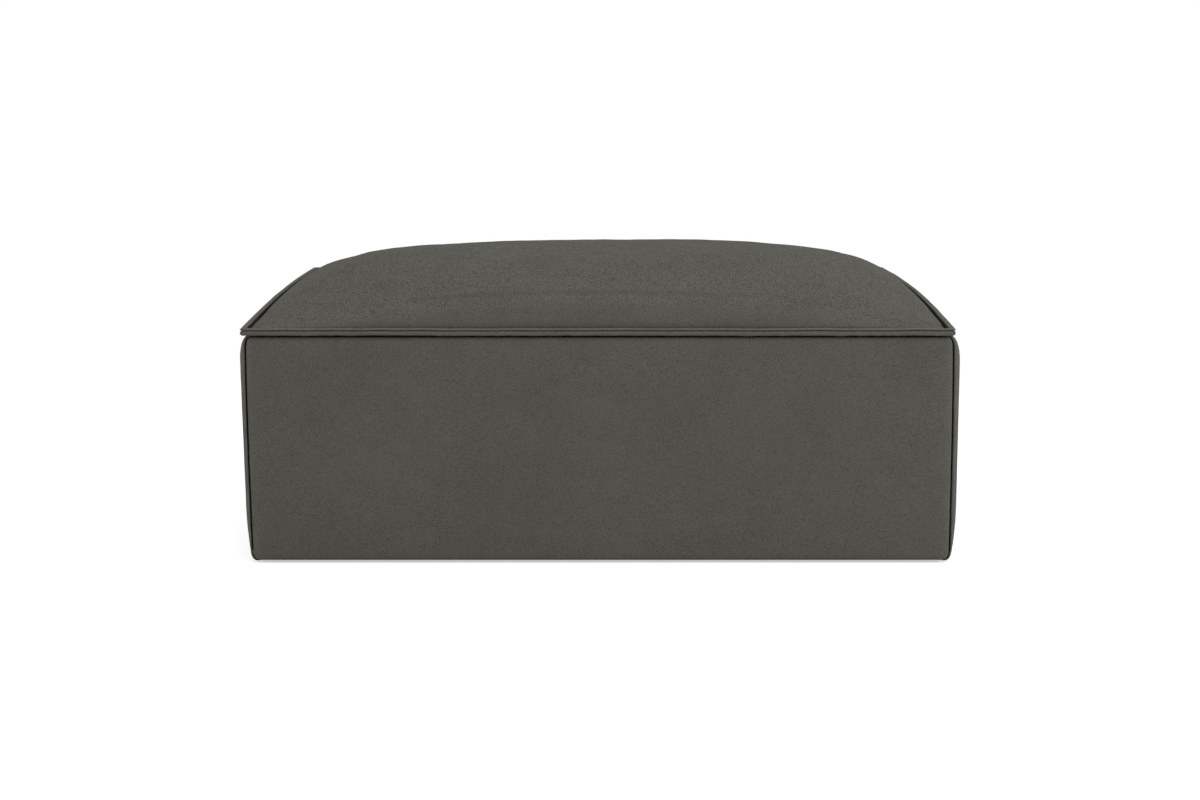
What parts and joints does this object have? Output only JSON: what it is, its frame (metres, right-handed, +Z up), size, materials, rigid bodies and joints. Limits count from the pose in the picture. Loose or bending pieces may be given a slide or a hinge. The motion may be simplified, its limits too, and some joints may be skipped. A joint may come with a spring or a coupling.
{
  "type": "footstool",
  "caption": "Wide low upholstered footstool: padded box base on glides with a loose crowned seat cushion that lifts off.",
  "frame": {"origin": "centre of the object's box, on the floor under it", "axes": "+X along the width to the right, +Y to the back, +Z up; the front faces -Y"},
  "size_m": [1.07, 0.76, 0.4386],
  "materials": {
    "cover_cloth": "charcoal suede-like microfibre with a fine pebbled grain",
    "black_cloth": "black non-woven cloth",
    "fibre": "white polyester wadding",
    "foam": "cut upholstery foam",
    "frame_wood": "planed softwood",
    "fibreboard": "hardboard",
    "steel": "drawn wire and pressed steel",
    "glide_plastic": "black moulded plastic",
    "strip_plastic": "woven hook and loop tape",
    "zip_tape": "woven tape with a nylon coil",
    "zip_metal": "die-cast slider, dark"
  },
  "bodies": {
    "base": {"glides": "glide_plastic", "glide_nails": "steel", "dust_cover": "black_cloth", "cover_staples": "steel", "post_front_left": "frame_wood", "post_front_right": "frame_wood", "post_back_left": "frame_wood", "post_back_right": "frame_wood", "centre_post_front": "frame_wood", "centre_post_back": "frame_wood", "bottom_rail_front": "frame_wood", "bottom_rail_back": "frame_wood", "bottom_rail_left": "frame_wood", "bottom_rail_right": "frame_wood", "top_rail_front": "frame_wood", "top_rail_back": "frame_wood", "top_rail_left": "frame_wood", "top_rail_right": "frame_wood", "bottom_stretcher": "frame_wood", "frame_screws": "steel", "wave_spring_1": "steel", "wave_spring_2": "steel", "wave_spring_3": "steel", "wave_spring_4": "steel", "wave_spring_5": "steel", "wave_spring_6": "steel", "wave_spring_7": "steel", "spring_clips": "steel", "clip_nails": "steel", "spring_cloth": "black_cloth", "deck_pad": "fibre", "deck_cloth": "black_cloth", "loop_strip_left": "strip_plastic", "loop_strip_right": "strip_plastic", "front_board": "fibreboard", "back_board": "fibreboard", "left_board": "fibreboard", "right_board": "fibreboard", "front_foam": "foam", "back_foam": "foam", "left_foam": "foam", "right_foam": "foam", "front_cover": "cover_cloth", "back_cover": "cover_cloth", "left_cover": "cover_cloth", "right_cover": "cover_cloth"},
    "cushion": {"cushion_top_cover": "cover_cloth", "cushion_bottom_cover": "cover_cloth", "cushion_band_front": "cover_cloth", "cushion_band_back": "cover_cloth", "cushion_band_left": "cover_cloth", "cushion_band_right": "cover_cloth", "cushion_wadding": "fibre", "cushion_base_pad": "fibre", "cushion_foam": "foam", "hook_strip_left": "strip_plastic", "hook_strip_right": "strip_plastic", "zip_stringers": "zip_tape"},
    "zip_slider": {"zip_slider": "zip_metal"}
  },
  "joints": [
    {"name": "cushion_lift", "type": "slide", "parent": "base", "child": "cushion", "axis": [0, 0, 1], "range_m": [0, 0.15]},
    {"name": "zip_slide", "type": "slide", "parent": "cushion", "child": "zip_slider", "axis": [-1, 0, 0], "range_m": [0, 0.6]}
  ]
}
